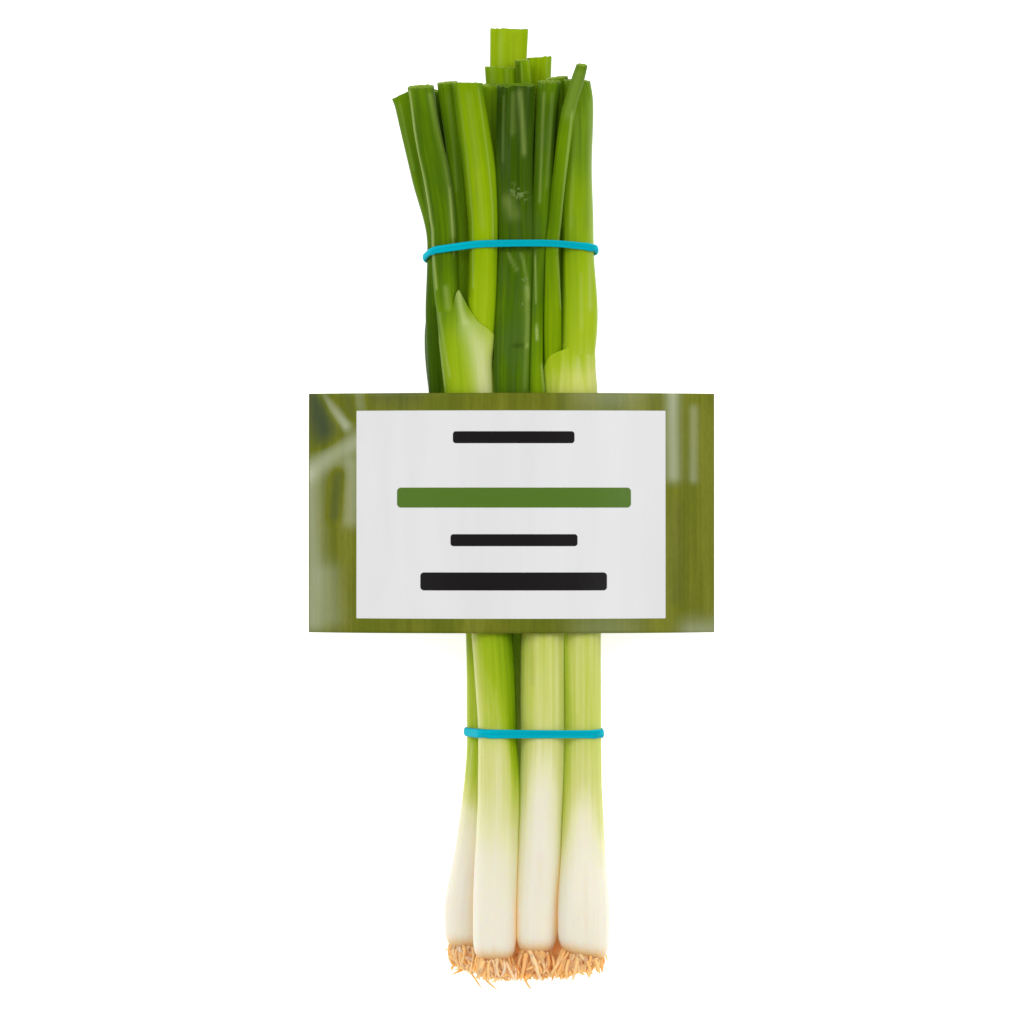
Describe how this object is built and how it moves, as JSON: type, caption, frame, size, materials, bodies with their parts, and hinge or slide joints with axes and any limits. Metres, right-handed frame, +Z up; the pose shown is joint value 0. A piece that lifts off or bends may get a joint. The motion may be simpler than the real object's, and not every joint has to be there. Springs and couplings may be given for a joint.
{
  "type": "spring onion bunch",
  "caption": "Spring onions with trimmed roots and cut hollow leaves, tied in a flat bunch by rubber bands and wrapped in a plain-panelled film sleeve, lying on a surface.",
  "frame": {"origin": "on the surface it lies on, under the middle of the whole bunch", "axes": "+Y from the roots to the cut leaf ends, +Z up, +X across the bunch"},
  "size_m": [0.1218, 0.2893, 0.0279],
  "materials": {
    "onion_shaft": "satin",
    "leaf_light": "satin",
    "leaf_dark": "satin",
    "roots": "matte",
    "band_rubber": "matte",
    "label_film": "gloss"
  },
  "bodies": {
    "root": {"onion_d_leaf_2": "leaf_light", "onion_c_leaf_1": "leaf_dark", "onion_b_leaf_2": "leaf_light", "onion_b_leaf_1": "leaf_dark", "onion_c_leaf_2": "leaf_dark", "onion_d_leaf_1": "leaf_light", "onion_b_leaf_3": "leaf_light", "onion_d_shaft": "onion_shaft", "onion_c_shaft": "onion_shaft", "onion_b_shaft": "onion_shaft", "onion_a_leaf_1": "leaf_dark", "onion_e_leaf_1": "leaf_dark", "onion_f_leaf_3": "leaf_dark", "onion_g_leaf_1": "leaf_dark", "onion_e_leaf_2": "leaf_light", "onion_a_leaf_2": "leaf_dark", "onion_f_leaf_1": "leaf_light", "onion_f_leaf_2": "leaf_light", "onion_g_leaf_2": "leaf_dark", "onion_e_leaf_3": "leaf_dark", "onion_a_shaft": "onion_shaft", "onion_e_shaft": "onion_shaft", "onion_f_shaft": "onion_shaft", "onion_g_shaft": "onion_shaft", "onion_b_roots": "roots", "onion_c_roots": "roots", "onion_d_roots": "roots", "onion_a_roots": "roots", "onion_e_roots": "roots", "onion_f_roots": "roots", "onion_g_roots": "roots", "lower_band": "band_rubber", "upper_band": "band_rubber", "label_sleeve": "label_film"}
  },
  "joints": []
}
